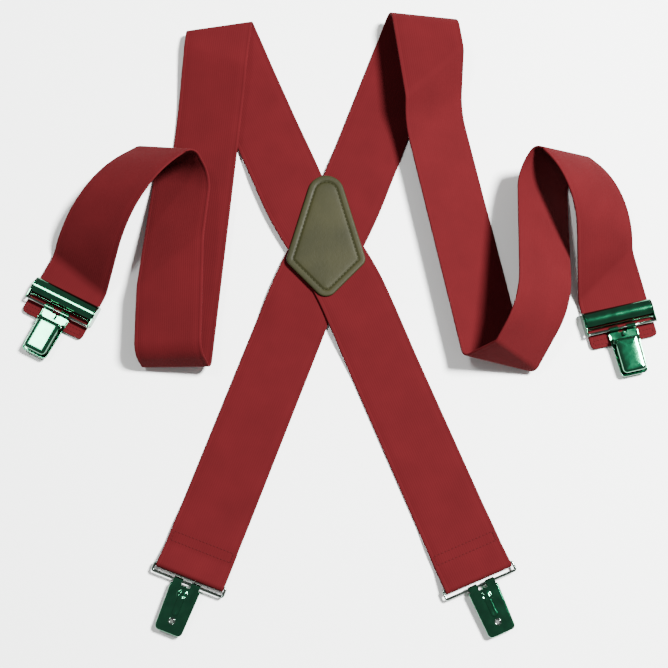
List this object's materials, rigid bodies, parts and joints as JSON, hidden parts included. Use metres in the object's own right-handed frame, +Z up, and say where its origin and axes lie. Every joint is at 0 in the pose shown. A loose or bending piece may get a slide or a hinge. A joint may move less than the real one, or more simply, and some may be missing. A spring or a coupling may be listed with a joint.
{
  "type": "clip-on suspenders",
  "caption": "Wide webbing X-back suspenders with a leather cross patch, sliding adjusters and lever clips, laid out with folded front straps.",
  "frame": {"origin": "middle of the cross patch, on the lower face of its back leather, on the table", "axes": "+Z up from the table, +Y towards the shoulder folds, -Y towards the back clips, +X to the wearer's front right strap"},
  "size_m": [0.465, 0.4671, 0.052],
  "materials": {
    "webbing": "ribbed woven elastic webbing",
    "leather": "smooth olive brown leather, semi-matte",
    "leather_thread": "waxed thread",
    "web_thread": "sewing thread",
    "green_metal": "glossy dark green plated sheet steel",
    "bright_wire": "polished wire",
    "pad_plastic": "matte"
  },
  "bodies": {
    "webbing": {"under_strap": "webbing", "over_strap": "webbing", "patch_back_leather": "leather", "patch_front_leather": "leather", "patch_stitching": "leather_thread", "back_left_loop_stitching": "web_thread", "back_right_loop_stitching": "web_thread", "front_left_hem_stitching": "web_thread", "front_right_hem_stitching": "web_thread"},
    "back_left_ring": {"back_left_ring": "bright_wire"},
    "back_left_clip": {"back_left_clip_body": "green_metal", "back_left_clip_pin": "bright_wire", "back_left_jaw_pad": "pad_plastic"},
    "back_left_lever": {"back_left_clip_lever": "green_metal"},
    "back_right_ring": {"back_right_ring": "bright_wire"},
    "back_right_clip": {"back_right_clip_body": "green_metal", "back_right_clip_pin": "bright_wire", "back_right_jaw_pad": "pad_plastic"},
    "back_right_lever": {"back_right_clip_lever": "green_metal"},
    "front_left_adjuster": {"front_left_adjuster_frame": "green_metal", "front_left_adjuster_pin": "bright_wire"},
    "front_left_cover": {"front_left_adjuster_cover": "green_metal"},
    "front_left_clip": {"front_left_clip_body": "green_metal", "front_left_clip_pin": "bright_wire", "front_left_jaw_pad": "pad_plastic"},
    "front_left_lever": {"front_left_clip_lever": "green_metal"},
    "front_right_adjuster": {"front_right_adjuster_frame": "green_metal", "front_right_adjuster_pin": "bright_wire"},
    "front_right_cover": {"front_right_adjuster_cover": "green_metal"},
    "front_right_clip": {"front_right_clip_body": "green_metal", "front_right_clip_pin": "bright_wire", "front_right_jaw_pad": "pad_plastic"},
    "front_right_lever": {"front_right_clip_lever": "green_metal"}
  },
  "joints": [
    {"name": "back_left_ring_swing", "type": "hinge", "parent": "webbing", "child": "back_left_ring", "pos_m": [-0.09352, -0.24169, 0.0044], "axis": [0.9348, -0.3551, 0], "range_deg": [-30, 30]},
    {"name": "back_left_clip_swing", "type": "hinge", "parent": "back_left_ring", "child": "back_left_clip", "pos_m": [-0.09572, -0.24748, 0.0044], "axis": [0.9348, -0.3551, 0], "range_deg": [-45, 45]},
    {"name": "back_left_lever_open", "type": "hinge", "parent": "back_left_clip", "child": "back_left_lever", "pos_m": [-0.0991, -0.25636, 0.0027], "axis": [0.9348, -0.3551, 0], "range_deg": [0, 90]},
    {"name": "back_right_ring_swing", "type": "hinge", "parent": "webbing", "child": "back_right_ring", "pos_m": [0.10552, -0.24261, 0.0044], "axis": [0.9212, 0.3891, 0], "range_deg": [-30, 30]},
    {"name": "back_right_clip_swing", "type": "hinge", "parent": "back_right_ring", "child": "back_right_clip", "pos_m": [0.10793, -0.24832, 0.0044], "axis": [0.9212, 0.3891, 0], "range_deg": [-45, 45]},
    {"name": "back_right_lever_open", "type": "hinge", "parent": "back_right_clip", "child": "back_right_lever", "pos_m": [0.11163, -0.25707, 0.0027], "axis": [0.9212, 0.3891, 0], "range_deg": [0, 90]},
    {"name": "front_left_adjuster_slide", "type": "slide", "parent": "webbing", "child": "front_left_adjuster", "axis": [0.4498, 0.8931, 0.0063], "range_m": [0, 0.004]},
    {"name": "front_left_cover_open", "type": "hinge", "parent": "front_left_adjuster", "child": "front_left_cover", "pos_m": [-0.19264, -0.04626, 0.00512], "axis": [0.8931, -0.4498, -0.0002], "range_deg": [0, 75]},
    {"name": "front_left_clip_swing", "type": "hinge", "parent": "front_left_adjuster", "child": "front_left_clip", "pos_m": [-0.19597, -0.05288, 0.00638], "axis": [-0.8931, 0.4498, 0.0002], "range_deg": [0, 70]},
    {"name": "front_left_lever_open", "type": "hinge", "parent": "front_left_clip", "child": "front_left_lever", "pos_m": [-0.20025, -0.06137, 0.00802], "axis": [-0.8931, 0.4498, 0.0002], "range_deg": [0, 90]},
    {"name": "front_right_adjuster_slide", "type": "slide", "parent": "webbing", "child": "front_right_adjuster", "axis": [-0.2229, 0.9747, 0.0177], "range_m": [0, 0.004]},
    {"name": "front_right_cover_open", "type": "hinge", "parent": "front_right_adjuster", "child": "front_right_cover", "pos_m": [0.21369, -0.0578, 0.00519], "axis": [0.9748, 0.223, -0.0024], "range_deg": [0, 75]},
    {"name": "front_right_clip_swing", "type": "hinge", "parent": "front_right_adjuster", "child": "front_right_clip", "pos_m": [0.21535, -0.06503, 0.00636], "axis": [-0.9748, -0.223, 0.0024], "range_deg": [0, 70]},
    {"name": "front_right_lever_open", "type": "hinge", "parent": "front_right_clip", "child": "front_right_lever", "pos_m": [0.21748, -0.07432, 0.00789], "axis": [-0.9748, -0.223, 0.0024], "range_deg": [0, 90]}
  ]
}
